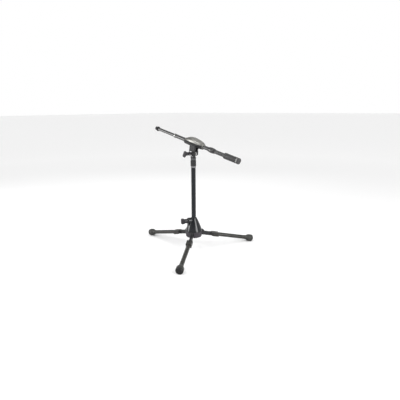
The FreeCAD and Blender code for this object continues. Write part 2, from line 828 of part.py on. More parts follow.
def make_clamp():
    """The boom clamp: jaw, cover, cover screw, liner, pivot nut and cable hook."""
    blank = clamp_blank()
    reach = "clamp_end * 2"
    above = box("clamp_above", ("-(%s)" % reach, "-(%s)" % reach, "-(%s)" % reach),
                ("-parting_height", reach, reach), BOOM)
    bore = disc("clamp_bore", "liner_radius", "-(%s)" % reach, reach, BOOM)
    bolt_bore = disc("clamp_bolt_bore", "bolt_radius + fit", "-(%s)" % reach, reach, PIVOT)
    near = clamp_leg("near_leg", "-near_leg_outside", "-leg_inside", "near_leg_radius", "near_leg_flare")
    far = clamp_leg("far_leg", "leg_inside", "far_leg_outside", "far_leg_radius", "far_leg_flare")
    lower = cut("clamp_lower", blank, above)
    solid = fuse("jaw_solid", [lower] + near + far)
    tools = fuse("jaw_bores", [bore, bolt_bore])
    jaw = cut("clamp_jaw", solid, tools)

    upper = common("clamp_upper", blank, above)
    screw_frame = BOOM.multiply(Placement(Vector(0, 0, value("crest_distance")),
                                          Rotation(Vector(0, 1, 0), -90)))
    screw_bore = disc("cover_screw_bore", "cover_screw_radius", "liner_radius", reach, screw_frame)
    cover = cut("clamp_cover", upper, fuse("cover_bores", [bore, screw_bore]))
    screw = disc("cover_screw", "cover_screw_radius", "cover_screw_start", "crest_above - edge",
                 screw_frame)
    liner = ring("clamp_liner", "liner_radius", "boom_radius + fit", "clamp_start", "clamp_end", BOOM)

    nut = ring("pivot_nut", "pivot_nut_radius", "bolt_radius + fit", "far_leg_outside",
               "far_leg_outside + pivot_nut_width", PIVOT)

    outer = "(hook_reach - hook_centre)"
    inner = "(hook_reach - hook_centre - hook_bar)"
    side = [
        ("hook_reach - hook_bar", "hook_bend"),
        ("hook_reach - hook_bar", "hook_height"),
        ("hook_reach", "hook_height"),
        ("hook_reach", "hook_bend", "-%s * quarter" % outer),
        ("hook_centre", "hook_bend - %s" % outer),
        ("-hook_centre", "hook_bend - %s" % outer),
        ("-hook_centre", "hook_bend - %s" % inner),
        ("hook_centre", "hook_bend - %s" % inner, "%s * quarter" % inner),
    ]
    shift = Placement(Vector(0, value("hook_inside + hook_width / 2"), 0), Rotation())
    bar = plate("hook_bar_blank", side, "hook_width", shift)
    hook = cut("cable_hook", bar, blank)
    return [jaw, cover, screw, liner, nut, hook]


def make_tilt_handle():
    """The T-shaped tilt handle with its bolt and washer."""
    turn = Placement(Vector(), Rotation(Vector(0, 0, 1), value("handle_tilt")))
    frame = HANDLE.multiply(turn)
    start = "near_leg_outside + gap + washer_width"
    sizes = ("handle_radius", start, "handle_wing_start", "handle_end")
    sizes += ("handle_wing_length", "handle_wing_width", "bolt_radius", "bolt_end")
    handle = t_handle("tilt_handle", frame, sizes)
    far_end = "-far_leg_outside - pivot_nut_width - edge"
    bolt = disc("tilt_bolt", "bolt_radius", far_end, "bolt_end", frame)
    washer = ring("tilt_washer", "washer_radius", "bolt_radius", "near_leg_outside + gap", start, frame)
    return [handle, bolt, washer]


def make_boom():
    """The boom's outer tube with its front bush, and the counterweight with its ring and cap."""
    tube = ring("boom_tube", "boom_radius", "boom_bore", "boom_start", "boom_end", BOOM)
    bush_outline = [
        ("extension_radius + fit", "bush_start"),
        ("bush_radius - edge", "bush_start"),
        ("bush_radius", "bush_start + edge"),
        ("bush_radius", "bush_start + bush_length"),
        ("boom_radius", "bush_start + bush_length"),
        ("boom_radius", "boom_start"),
        ("boom_bore", "boom_start"),
        ("boom_bore", "boom_start + bush_depth"),
        ("extension_radius + fit", "boom_start + bush_depth"),
    ]
    bush = turned("boom_bush", bush_outline, BOOM)
    weight_outline = [
        ("boom_radius", "weight_start"),
        ("weight_radius - weight_round", "weight_start", "weight_round * quarter"),
        ("weight_radius", "weight_start + weight_round"),
        ("weight_radius", "weight_ring_start"),
        ("boom_radius", "weight_ring_start"),
    ]
    weight = turned("counterweight", weight_outline, BOOM)
    ring_outline = [
        ("boom_radius", "weight_ring_start"),
        ("weight_radius - edge", "weight_ring_start"),
        ("weight_radius - edge", "boom_end"),
        ("boom_radius", "boom_end"),
    ]
    band = turned("counterweight_ring", ring_outline, BOOM)
    cap_outline = [
        ("0", "boom_end"),
        ("weight_radius", "boom_end"),
        ("weight_radius", "weight_end - weight_round", "weight_round * quarter"),
        ("weight_radius - weight_round", "weight_end"),
        ("0", "weight_end"),
    ]
    cap = turned("counterweight_cap", cap_outline, BOOM)
    return [tube, bush, weight, band, cap]


def make_extension():
    """The inner boom tube with its guide, and the threaded end for a microphone clip."""
    tube = ring("extension_tube", "extension_radius", "extension_bore", "extension_start",
                "extension_end", BOOM)
    guide_outline = [
        ("0", "extension_guide_start"),
        ("extension_bore", "extension_guide_start"),
        ("extension_bore", "extension_end"),
        ("boom_bore - fit", "extension_end"),
        ("boom_bore - fit", "extension_guide_end"),
        ("0", "extension_guide_end"),
    ]
    guide = turned("extension_guide", guide_outline, BOOM)
    thread_outline = [
        ("thread_bore", "thread_start"),
        ("thread_radius - thread_bevel", "thread_start"),
        ("thread_radius", "thread_start + thread_bevel"),
        ("thread_radius", "flange_start"),
        ("thread_bore", "flange_start"),
    ]
    thread = turned("mic_thread", thread_outline, BOOM)
    flange_outline = [
        ("thread_bore", "flange_start"),
        ("flange_radius - edge", "flange_start"),
        ("flange_radius", "flange_start + edge"),
        ("flange_radius", "extension_start - edge"),
        ("flange_radius - edge", "extension_start"),
        ("extension_bore", "extension_start"),
        ("extension_bore", "extension_start + flange_spigot"),
        ("thread_bore", "extension_start + flange_spigot"),
    ]
    flange = turned("thread_flange", flange_outline, BOOM)
    return [tube, guide, thread, flange]


def make_stop_collar():
    """The barrel-shaped stop on the boom behind the clamp, and its set screw."""
    middle = "(collar_start + collar_end) / 2"
    outline = [
        ("boom_radius + fit", "collar_start"),
        ("collar_end_radius", "collar_start", "collar_curve"),
        ("collar_end_radius", "collar_end"),
        ("boom_radius + fit", "collar_end"),
    ]
    barrel = turned("collar_barrel", outline, BOOM)
    screw_frame = sideways(BOOM, 0, value(middle), -1)
    bore = disc("collar_screw_bore", "collar_screw_radius", "0", "weight_radius", screw_frame)
    collar = cut("stop_collar", barrel, bore)
    screw = disc("collar_screw", "collar_screw_radius", "boom_radius + gap", "collar_screw_top",
                 screw_frame)
    return [collar, screw]


def build_all():
    pieces = []
    for name, angle in zip(LEG_NAMES, LEG_ANGLES):
        pieces += make_leg(name, angle)
    pieces.append(make_hub())
    pieces += make_cup()
    pieces += make_cone()
    pieces += make_base_knob()
    pieces += make_column()
    pieces += make_clutch()
    pieces += make_rod()
    pieces += make_post()
    pieces += make_clamp()
    pieces += make_tilt_handle()
    pieces += make_boom()
    pieces += make_extension()
    pieces += make_stop_collar()
    doc.recompute()
    return pieces


def check(pieces):
    """Stop if any object failed to recompute or any piece has no valid solid."""
    failures = []
    for item in doc.Objects:
        if "Invalid" in item.State or "Error" in item.State:
            failures.append("%s did not recompute: %s" % (item.Label, item.State))
    for piece in pieces:
        shape = piece.Shape
        if shape.isNull() or not shape.isValid() or not shape.Solids:
            failures.append("%s has no valid solid" % piece.Label)
    if failures:
        raise RuntimeError("; ".join(failures))


def write(pieces):
    os.makedirs("parts", exist_ok=True)
    for piece in pieces:
        piece.Shape.exportStep("parts/%s.step" % piece.Label)
    print("%d parts written" % len(pieces))


stand = build_all()
check(stand)
write(stand)
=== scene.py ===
"""Looks of the low microphone stand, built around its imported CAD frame.

Sizes of pieces are millimetres, as in the CAD, and MM turns them into metres.  The floor, the lights
and the camera are placed in metres.  Every round piece is a lathe of a closed outline in the frame
that its joint gives: each corner is (radius, height), with a third number where the corner is rounded.
"""

import json
import math

import bmesh
import bpy
from mathutils import Matrix, Vector


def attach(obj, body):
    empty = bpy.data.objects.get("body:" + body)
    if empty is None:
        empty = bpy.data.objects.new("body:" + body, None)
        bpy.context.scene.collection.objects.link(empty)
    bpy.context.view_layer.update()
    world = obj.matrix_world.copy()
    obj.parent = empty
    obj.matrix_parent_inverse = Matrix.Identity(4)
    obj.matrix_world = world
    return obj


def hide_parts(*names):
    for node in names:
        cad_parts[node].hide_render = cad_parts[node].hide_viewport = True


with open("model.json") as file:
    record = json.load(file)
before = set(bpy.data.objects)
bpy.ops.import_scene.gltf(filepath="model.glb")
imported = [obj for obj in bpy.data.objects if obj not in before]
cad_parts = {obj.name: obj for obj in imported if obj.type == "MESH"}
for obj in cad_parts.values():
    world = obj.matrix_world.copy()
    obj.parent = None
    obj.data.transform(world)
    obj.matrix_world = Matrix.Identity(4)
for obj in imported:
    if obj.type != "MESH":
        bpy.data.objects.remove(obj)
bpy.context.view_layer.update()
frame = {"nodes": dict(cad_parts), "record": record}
MM = 0.001
RECORD = frame["record"]
JOINTS = {joint["name"]: joint for joint in RECORD["behaviour"]["joints"]}
MOUNTS = {mount["name"]: mount for mount in RECORD["mounts"]}
SLOTS = {part["node"]: part["material_slot"] for part in RECORD["subparts"]}
BODY_OF = {node: body for body, nodes in RECORD["behaviour"]["bodies"].items() for node in nodes}
LEGS = ("right", "left", "front")


# ---------------------------------------------------------------- frames

def axes_frame(origin, along, side):
    """A frame with its Z axis along one direction and its Y axis to one side."""
    z_axis = Vector(along).normalized()
    y_axis = Vector(side).normalized()
    x_axis = y_axis.cross(z_axis)
    matrix = Matrix((x_axis, y_axis, z_axis)).transposed().to_4x4()
    matrix.translation = Vector(origin)
    return matrix


def boom_frame():
    """Z runs along the boom towards the counterweight, from the column's axis; X points down."""
    towards_mic = Vector(JOINTS["boom_slide"]["axis"])
    tip = Vector(MOUNTS["mic_thread"]["pos_m"])
    crossing = tip - towards_mic * (tip.x / towards_mic.x)
    return axes_frame(crossing, -towards_mic, (0, 1, 0))


LEG_SLOPE = math.radians(12.7)


def leg_frame(name):
    """Z runs outwards and down along the leg, from its hinge pin; X points down."""
    joint = JOINTS["leg_%s_fold" % name]
    tangent = Vector(joint["axis"])
    outwards = tangent.cross(Vector((0, 0, 1)))
    along = outwards * math.cos(LEG_SLOPE) - Vector((0, 0, math.sin(LEG_SLOPE)))
    return axes_frame(joint["pos_m"], along, tangent)


UPRIGHT = Matrix.Identity(4)
BOOM = boom_frame()


def extent(node, place):
    """Where a CAD node starts and ends along a frame's Z axis, and its outer and inner radius, in mm."""
    back = place.inverted()
    points = [back @ vertex.co / MM for vertex in frame["nodes"][node].data.vertices]
    heights = [point.z for point in points]
    radii = [math.hypot(point.x, point.y) for point in points]
    return min(heights), max(heights), max(radii), min(radii)


# ---------------------------------------------------------------- mesh tools

ON_AXIS = 1e-6          # a radius below this is a point on the axis
WELD_DISTANCE = 1e-6    # vertices nearer than this, in metres, are one
LARGEST_ROUNDING = 0.49  # share of a side that one rounded corner may take
SHARP_ANGLE = 32        # edges bent further than this, in degrees, stay sharp
CASTING_SHARP_ANGLE = 60


def add_object(name, mesh):
    piece = bpy.data.objects.new(name, mesh)
    bpy.context.scene.collection.objects.link(piece)
    return piece


def finish_shading(mesh, angle=SHARP_ANGLE):
    for polygon in mesh.polygons:
        polygon.use_smooth = True
    mesh.set_sharp_from_angle(angle=math.radians(angle))


def apply_modifiers(piece):
    """Keep the evaluated mesh and drop the modifiers."""
    graph = bpy.context.evaluated_depsgraph_get()
    mesh = bpy.data.meshes.new_from_object(piece.evaluated_get(graph))
    piece.modifiers.clear()
    piece.data = mesh
    return piece


def rounded(outline, steps=5):
    """Corner points of a closed outline, with a curve where a corner names its rounding."""
    points = []
    for index, corner in enumerate(outline):
        here = Vector(corner[:2])
        size = corner[2] if len(corner) > 2 else 0
        if not size:
            points.append(here)
            continue
        back = Vector(outline[index - 1][:2]) - here
        ahead = Vector(outline[(index + 1) % len(outline)][:2]) - here
        reach = min(size, back.length * LARGEST_ROUNDING, ahead.length * LARGEST_ROUNDING)
        start = here + back.normalized() * reach
        end = here + ahead.normalized() * reach
        for step in range(steps + 1):
            part = step / steps
            points.append(start * (1 - part) ** 2 + here * (2 * part * (1 - part)) + end * part ** 2)
    return points


def divided(points, low, high, step):
    """Add points to the stretches that lie between two heights, so that a pattern can bend them."""
    result = []
    for index, here in enumerate(points):
        there = points[(index + 1) % len(points)]
        result.append(here)
        inside = low <= min(here.y, there.y) and max(here.y, there.y) <= high
        count = int((there - here).length / step) if inside else 0
        for number in range(1, count):
            result.append(here.lerp(there, number / count))
    return result


def lathe(name, outline, place, segments=96, pattern=None, step=None):
    """Turn a closed (radius, height) outline.  pattern(angle, radius, height) may move the radius;
    step is (low, high, spacing) for the stretch that the pattern needs finely divided."""
    points = rounded(outline)
    if step:
        points = divided(points, *step)
    mesh = bmesh.new()
    rings = []
    for point in points:
        if point.x < ON_AXIS:
            rings.append([mesh.verts.new((0, 0, point.y * MM))])
            continue
        ring = []
        for index in range(segments):
            angle = 2 * math.pi * index / segments
            radius = pattern(angle, point.x, point.y) if pattern else point.x
            ring.append(mesh.verts.new((radius * math.cos(angle) * MM,
                                        radius * math.sin(angle) * MM, point.y * MM)))
        rings.append(ring)
    for index, ring in enumerate(rings):
        after = rings[(index + 1) % len(rings)]
        if len(ring) == 1 and len(after) == 1:
            continue
        for number in range(segments):
            following = (number + 1) % segments
            corners = [ring[number % len(ring)], ring[following % len(ring)],
                       after[following % len(after)], after[number % len(after)]]
            unique = list(dict.fromkeys(corners))
            if len(unique) > 2:
                mesh.faces.new(unique)
    bmesh.ops.recalc_face_normals(mesh, faces=mesh.faces)
    mesh.transform(place)
    data = bpy.data.meshes.new(name)
    mesh.to_mesh(data)
    mesh.free()
    finish_shading(data)
    return add_object(name, data)


def softened(name, node, voxel, relax):
    """A casting or moulding: the CAD node's own shape with every edge and corner melted round."""
    mesh = bmesh.new()
    mesh.from_mesh(frame["nodes"][node].data)
    bmesh.ops.remove_doubles(mesh, verts=mesh.verts, dist=WELD_DISTANCE)
    data = bpy.data.meshes.new(name)
    mesh.to_mesh(data)
    mesh.free()
    piece = add_object(name, data)
    remesh = piece.modifiers.new("skin", "REMESH")
    remesh.mode = "VOXEL"
    remesh.voxel_size = voxel * MM
    smooth = piece.modifiers.new("melt", "SMOOTH")
    smooth.factor = 0.5
    smooth.iterations = relax
    apply_modifiers(piece)
    finish_shading(piece.data, CASTING_SHARP_ANGLE)
    return piece


# ---------------------------------------------------------------- materials

MOTTLE_TO_GRAIN = 12            # the mottling is this many times coarser than the grain
MOTTLE_SPAN = (0.35, 0.68)      # noise values that give the darkest and the lightest colour
EDGE_SPAN = (0.515, 0.60)       # pointiness where wear begins and where it is full
NOISE_SPAN = (0.3, 0.7)         # usual range of the noise that drives the gloss
ROUGHNESS_SPAN = (0.82, 1.18)   # shares of the mean roughness that the noise moves between
RELIEF_DEPTH = 0.0002           # metres


def new_material(name):
    material = bpy.data.materials.new(name)
    material.use_nodes = True
    tree = material.node_tree
    shader = tree.nodes["Principled BSDF"]
    return material, tree, shader


def noise_node(tree, scale, detail=4, stretch=(1, 1, 1)):
    """Noise in object space, with its scale in waves per metre."""
    place = tree.nodes.new("ShaderNodeTexCoord")
    mapping = tree.nodes.new("ShaderNodeMapping")
    mapping.inputs["Scale"].default_value = stretch
    noise = tree.nodes.new("ShaderNodeTexNoise")
    noise.inputs["Scale"].default_value = scale
    noise.inputs["Detail"].default_value = detail
    tree.links.new(place.outputs["Object"], mapping.inputs["Vector"])
    tree.links.new(mapping.outputs["Vector"], noise.inputs["Vector"])
    return noise


def ramp_node(tree, source, low, high, dark, light):
    """A two-stop ramp of a socket between two colours."""
    ramp = tree.nodes.new("ShaderNodeValToRGB")
    ramp.color_ramp.elements[0].position = low
    ramp.color_ramp.elements[1].position = high
    ramp.color_ramp.elements[0].color = (*dark, 1)
    ramp.color_ramp.elements[1].color = (*light, 1)
    tree.links.new(source, ramp.inputs["Fac"])
    return ramp


def finish(name, colour, roughness, metallic=0.0, coat=0.0, coat_roughness=0.1, grain=900, bump=0.1,
           bump_scale=2500, spread=0.25, wear=0.0, wear_colour=(0.35, 0.35, 0.36), stretch=(1, 1, 1),
           specular=0.5):
    """A surface with mottled colour, uneven gloss, a fine relief and worn edges.  grain and bump_scale
    are in waves per metre; spread is how far the mottling moves the colour to each side."""
    material, tree, shader = new_material(name)
    mottle = noise_node(tree, grain / MOTTLE_TO_GRAIN, 5)
    fine = noise_node(tree, grain, 6, stretch)
    dark = [channel * (1 - spread) for channel in colour]
    light = [min(1, channel * (1 + spread)) for channel in colour]
    tint = ramp_node(tree, mottle.outputs["Fac"], *MOTTLE_SPAN, dark, light)
    base = tint.outputs["Color"]
    if wear:
        geometry = tree.nodes.new("ShaderNodeNewGeometry")
        edge = ramp_node(tree, geometry.outputs["Pointiness"], *EDGE_SPAN, (0, 0, 0), (wear,) * 3)
        mix = tree.nodes.new("ShaderNodeMix")
        mix.data_type = "RGBA"
        tree.links.new(edge.outputs["Color"], mix.inputs["Factor"])
        tree.links.new(base, mix.inputs["A"])
        mix.inputs["B"].default_value = (*wear_colour, 1)
        base = mix.outputs["Result"]
    tree.links.new(base, shader.inputs["Base Color"])
    gloss = tree.nodes.new("ShaderNodeMapRange")
    gloss.inputs["From Min"].default_value, gloss.inputs["From Max"].default_value = NOISE_SPAN
    gloss.inputs["To Min"].default_value = roughness * ROUGHNESS_SPAN[0]
    gloss.inputs["To Max"].default_value = roughness * ROUGHNESS_SPAN[1]
    tree.links.new(fine.outputs["Fac"], gloss.inputs["Value"])
    tree.links.new(gloss.outputs["Result"], shader.inputs["Roughness"])
    relief = tree.nodes.new("ShaderNodeBump")
    relief.inputs["Strength"].default_value = bump
    relief.inputs["Distance"].default_value = RELIEF_DEPTH
    surface = noise_node(tree, bump_scale, 3, stretch)
    tree.links.new(surface.outputs["Fac"], relief.inputs["Height"])
    tree.links.new(relief.outputs["Normal"], shader.inputs["Normal"])
    shader.inputs["Metallic"].default_value = metallic
    shader.inputs["Coat Weight"].default_value = coat
    shader.inputs["Coat Roughness"].default_value = coat_roughness
    shader.inputs["Specular IOR Level"].default_value = specular
    return material


MATERIALS = {
    "cone_paint": finish("gloss enamel, cool black", (0.004, 0.005, 0.0065), 0.22, coat=0.2,
                         coat_roughness=0.12, grain=700, bump=0.05, bump_scale=260, wear=0.10,
                         specular=0.25),
    "hub_paint": finish("satin casting, black", (0.013, 0.013, 0.014), 0.42, grain=1400, bump=0.35,
                        bump_scale=1600, wear=0.15, specular=0.3),
    "cup_plastic": finish("matte plastic, purple grey", (0.034, 0.030, 0.036), 0.52, grain=2400,
                          bump=0.30, bump_scale=3200, spread=0.18, specular=0.25),
    "zinc_steel": finish("zinc plated steel", (0.42, 0.42, 0.43), 0.32, metallic=1.0, grain=1800,
                         bump=0.12, stretch=(1, 1, 0.2)),
    "brass_pad": finish("turned brass", (0.60, 0.43, 0.18), 0.30, metallic=1.0, stretch=(1, 1, 6)),
    "knob_plastic": finish("moulded plastic, black", (0.011, 0.010, 0.012), 0.36, grain=1500,
                           bump=0.28, bump_scale=2600, wear=0.08, wear_colour=(0.12, 0.12, 0.12),
                           specular=0.35),
    "column_paint": finish("powder coat, blue black", (0.006, 0.0075, 0.010), 0.30, grain=1300,
                           bump=0.18, bump_scale=1900, specular=0.22),
    "nylon": finish("natural nylon", (0.62, 0.61, 0.56), 0.45, grain=600, bump=0.08, spread=0.06),
    "ring_grey": finish("satin ring, grey", (0.13, 0.13, 0.135), 0.36, grain=1500, bump=0.15,
                        spread=0.12),
    "grip_plastic": finish("grip plastic, black", (0.014, 0.014, 0.015), 0.42, grain=1700, bump=0.3,
                           bump_scale=3000, wear=0.1, wear_colour=(0.10, 0.10, 0.10), specular=0.35),
    "rod_steel": finish("plated rod", (0.60, 0.60, 0.62), 0.12, metallic=1.0, grain=900, bump=0.03),
    "nut_metal": finish("nickel nut, dark", (0.10, 0.10, 0.105), 0.34, metallic=0.85, grain=1500,
                        bump=0.15, wear=0.3, wear_colour=(0.3, 0.3, 0.3)),
    "post_paint": finish("satin enamel, black", (0.012, 0.0125, 0.014), 0.34, grain=1300,
                         bump=0.2, bump_scale=1500, wear=0.12, specular=0.35),
    "clamp_paint": finish("satin enamel, dark grey", (0.011, 0.011, 0.0115), 0.34, coat=0.1,
                          coat_roughness=0.22, grain=1200, bump=0.2, bump_scale=1500, wear=0.12,
                          specular=0.18),
    "cover_paint": finish("satin metal, warm grey", (0.19, 0.188, 0.176), 0.36, metallic=0.85,
                          grain=1300, bump=0.12, bump_scale=1400, spread=0.1, wear=0.12,
                          wear_colour=(0.3, 0.3, 0.28)),
    "hook_plastic": finish("nylon hook, black", (0.012, 0.012, 0.014), 0.38, grain=1500, bump=0.2,
                           specular=0.35),
    "boom_paint": finish("powder coat, dark grey", (0.014, 0.014, 0.0145), 0.24, coat=0.15,
                         coat_roughness=0.12, grain=1300, bump=0.14, bump_scale=1900, specular=0.45),
    "bush_metal": finish("turned aluminium, dulled", (0.24, 0.24, 0.235), 0.34, metallic=1.0, grain=1700,
                         bump=0.1),
    "weight_iron": finish("satin enamel on iron", (0.018, 0.018, 0.0185), 0.38, grain=1100,
                          bump=0.35, bump_scale=1300, wear=0.15, specular=0.4),
    "thread_steel": finish("blackened steel", (0.040, 0.040, 0.042), 0.36, metallic=0.8, grain=1800,
                           bump=0.1, wear=0.35, wear_colour=(0.35, 0.35, 0.35)),
    "collar_plastic": finish("collar plastic, black", (0.014, 0.014, 0.0145), 0.28, coat=0.15,
                             grain=1300, bump=0.15, specular=0.4),
    "knuckle_paint": finish("satin casting, olive black", (0.020, 0.0195, 0.017), 0.38, grain=1400,
                            bump=0.3, bump_scale=1700, wear=0.15, specular=0.35),
    "leg_paint": finish("powder coat, olive black", (0.015, 0.0145, 0.0115), 0.28, grain=1300, bump=0.2,
                        bump_scale=1900, specular=0.4),
    "foot_rubber": finish("moulded rubber, grey black", (0.030, 0.030, 0.0275), 0.50, grain=1800,
                          bump=0.35, bump_scale=2200, spread=0.2, specular=0.3),
    "foot_pad": finish("hard rubber, black", (0.009, 0.009, 0.009), 0.48, grain=1500, bump=0.3,
                       bump_scale=2400, specular=0.25),
}


def paint(piece, slot):
    piece.data.materials.clear()
    piece.data.materials.append(MATERIALS[slot])


def paint_frame():
    """Give every carried-over CAD node the finish of its slot."""
    for node, slot in SLOTS.items():
        paint(frame["nodes"][node], slot)


# ---------------------------------------------------------------- pieces

def place_piece(piece, node):
    """The piece stands for one CAD node, with its body, slot and finish."""
    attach(piece, BODY_OF[node])
    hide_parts(node)
    paint(piece, SLOTS[node])
    return piece


def make_casting(name, node, voxel, relax):
    place_piece(softened(name, node, voxel, relax), node)


def make_pipe(name, node, place):
    """A plain tube; returns where it starts, and its outer and inner radius."""
    low, high, outer, inner = extent(node, place)
    outline = [(inner, low), (outer, low), (outer, high), (inner, high)]
    place_piece(lathe(name, outline, place), node)
    return low, outer, inner


def flutes(count, depth, low, high, floor):
    """A pattern of lengthways grooves between two heights, on radii above a floor."""
    def pattern(angle, radius, height):
        if not low <= height <= high or radius <= floor:
            return radius
        wave = 0.5 - 0.5 * math.cos(count * angle)
        return radius - depth * (1 - math.sqrt(wave))
    return pattern


def knurl(count, depth, low, high, floor):
    """A diamond knurl between two heights, on radii above a floor."""
    pitch = 2 * math.pi / count

    def pattern(angle, radius, height):
        if not low <= height <= high or radius < floor:
            return radius
        lean = (height - low) / radius
        first = abs(((angle + lean) / pitch) % 1 - 0.5) * 2
        second = abs(((angle - lean) / pitch) % 1 - 0.5) * 2
        return radius - depth * max(first, second)
    return pattern


def screw_thread(pitch, depth, low, high, floor):
    """A V thread between two heights, fading in and out over its first and last turn."""
    def pattern(angle, radius, height):
        if not low <= height <= high or radius < floor:
            return radius
        phase = abs(((height / pitch) - angle / (2 * math.pi)) % 1 - 0.5) * 2
        fade = min(1, (height - low) / pitch, (high - height) / pitch)
        return radius - depth * phase * fade
    return pattern


def make_legs():
    for name in LEGS:
        place = leg_frame(name)
        make_pin(name, place @ Matrix.Rotation(math.radians(-90), 4, "X"))
        make_casting("knuckle_" + name, "leg_knuckle_" + name, 0.5, 5)
        start, end, outer, inner = extent("leg_tube_" + name, place)
        outline = [(inner, start), (outer - 0.3, start), (outer, start + 0.4), (outer, end),
                   (inner, end)]
        place_piece(lathe("leg_bar_" + name, outline, place, 72), "leg_tube_" + name)
        make_foot(name, place, outer)


def make_pin(name, place):
    """A hinge pin with a domed head at each end, each with a dimple."""
    low, high, head, _ = extent("hinge_pin_" + name, place)
    shank, head_height = 3, 1.3
    reach = high - head_height
    outline = [(0, low + 0.5), (1.2, low + 0.4, 0.3), (1.5, low, 0.3), (head - 1.1, low, 0.9),
               (head, -reach, 0.3), (shank, -reach), (shank, reach), (head, reach, 0.3),
               (head - 1.1, high, 0.9), (1.5, high, 0.3), (1.2, high - 0.4, 0.3), (0, high - 0.5)]
    place_piece(lathe("rivet_" + name, outline, place, 48), "hinge_pin_" + name)


def make_foot(name, place, tube_radius):
    """A moulded rubber foot in two shades: a flared neck with a barrel, and the harder pad below."""
    start, end, outer, _ = extent("foot_" + name, place)
    barrel_length, pad_length = 22, 8
    bulb = end - barrel_length
    seam = end - pad_length
    barrel = [
        (tube_radius, start), (tube_radius + 0.6, start, 0.3), (tube_radius + 0.8, start + 1.4, 0.5),
        (tube_radius + 1.3, bulb - 9, 3), (outer - 1.3, bulb - 2.2, 3), (outer, bulb + 1.5, 2),
        (outer, seam - 0.6, 0.4), (outer - 0.8, seam, 0.2), (tube_radius, seam),
    ]
    pad = [
        (0, seam), (outer - 0.8, seam), (outer - 0.8, seam + 0.9, 0.3), (outer, seam + 1.5, 0.5),
        (outer - 0.6, end - 3.4, 2), (outer - 3.2, end, 2), (outer - 6.2, end, 0.5),
        (outer - 6.8, end - 1.1, 0.4), (0, end - 1.1),
    ]
    place_piece(worn_flat(lathe("rubber_foot_" + name, barrel, place)), "foot_" + name)
    sole = place_piece(worn_flat(lathe("foot_pad_" + name, pad, place)), "foot_" + name)
    paint(sole, "foot_pad")


def worn_flat(piece):
    """Cut a foot off level at the floor and close the cut."""
    mesh = bmesh.new()
    mesh.from_mesh(piece.data)
    geometry = mesh.verts[:] + mesh.edges[:] + mesh.faces[:]
    cut = bmesh.ops.bisect_plane(mesh, geom=geometry, plane_co=(0, 0, 0), plane_no=(0, 0, 1),
                                 clear_inner=True)
    edges = [item for item in cut["geom_cut"] if isinstance(item, bmesh.types.BMEdge)]
    if edges:
        bmesh.ops.contextual_create(mesh, geom=edges)
    bmesh.ops.recalc_face_normals(mesh, faces=mesh.faces)
    mesh.to_mesh(piece.data)
    mesh.free()
    finish_shading(piece.data)
    return piece


def make_base():
    make_casting("hub_casting", "leg_hub", 0.7, 5)
    make_casting("cone_casting", "base_cone", 0.7, 5)
    make_casting("cup_moulding", "base_cup", 0.6, 4)
    make_casting("clamp_knob", "base_knob", 0.4, 9)


def make_column():
    _, column_radius, _ = make_pipe("column_pipe", "column_tube", UPRIGHT)
    make_column_collar(column_radius)
    make_grip()
    low, high, outer, inner = extent("lock_nut", UPRIGHT)
    outline = [(inner, low), (outer - 0.8, low, 0.5), (outer, low + 0.8, 0.3), (outer, high - 0.8, 0.3),
               (outer - 0.8, high, 0.5), (inner, high)]
    nut = lathe("knurled_nut", outline, UPRIGHT, 240, knurl(60, 0.45, low + 1, high - 1, outer - 0.5),
                (low + 0.8, high - 0.8, 0.4))
    place_piece(nut, "lock_nut")


def make_column_collar(column_radius):
    """The light ring with a fine groove round it, and its smooth neck above."""
    low, high, outer, _ = extent("column_ring", UPRIGHT)
    neck_height = 8
    neck, shoulder = outer - 0.6, high - neck_height
    outline = [(column_radius, low), (outer - 0.3, low, 0.4), (outer, low + 0.8, 0.4),
               (outer, low + 2.3, 0.2), (outer - 0.3, low + 2.6, 0.15), (outer - 0.3, low + 3.2, 0.15),
               (outer, low + 3.5, 0.2), (outer, shoulder, 0.3), (neck, shoulder), (neck, high),
               (column_radius, high)]
    place_piece(lathe("column_collar", outline, UPRIGHT), "column_ring")


def make_grip():
    """The twist sleeve, with a plain band at each end and soft flutes between them."""
    low, high, outer, inner = extent("clutch_sleeve", UPRIGHT)
    bore, mouth = 10.8, high - 8
    cone_top, cone_foot = 8.6, 10.3
    outline = [(bore, low), (outer - 0.4, low, 0.3), (outer, low + 0.9, 0.3), (outer, low + 3, 0.2),
               (outer, high - 3.4, 0.3), (outer, high - 1.6, 0.5), (outer - 1.3, high, 0.5), (inner, high),
               (inner, high - 2), (cone_top, high - 3.7), (cone_foot, mouth), (bore, mouth)]
    grip = lathe("twist_grip", outline, UPRIGHT, 288, flutes(24, 0.75, low + 3, high - 3.4, bore),
                 (low + 3, high - 3.4, 1.2))
    place_piece(grip, "clutch_sleeve")


def make_head():
    make_casting("post_casting", "swivel_post", 0.4, 5)
    make_casting("jaw_casting", "clamp_jaw", 0.6, 6)
    make_casting("cover_casting", "clamp_cover", 0.6, 6)
    make_casting("hook_moulding", "cable_hook", 0.35, 5)
    make_casting("t_handle", "tilt_handle", 0.4, 9)


def make_boom():
    tube_start, tube_radius, tube_bore = make_pipe("boom_pipe", "boom_tube", BOOM)
    make_bush(tube_start, tube_radius, tube_bore)
    make_counterweight(tube_radius)
    _, _, extension_bore = make_pipe("extension_pipe", "extension_tube", BOOM)
    make_threaded_end(extension_bore)
    make_collar()


def make_bush(tube_start, tube_radius, tube_bore):
    """The bright turned bush that closes the outer tube round the inner one."""
    low, high, outer, inner = extent("boom_bush", BOOM)
    lip_length = 6
    lip = low + lip_length
    outline = [(inner, low), (outer - 0.6, low, 0.3), (outer, low + 0.7, 0.3), (outer, lip, 0.4),
               (tube_radius, lip), (tube_radius, tube_start), (tube_bore, tube_start), (tube_bore, high),
               (inner, high)]
    place_piece(lathe("front_bush", outline, BOOM), "boom_bush")


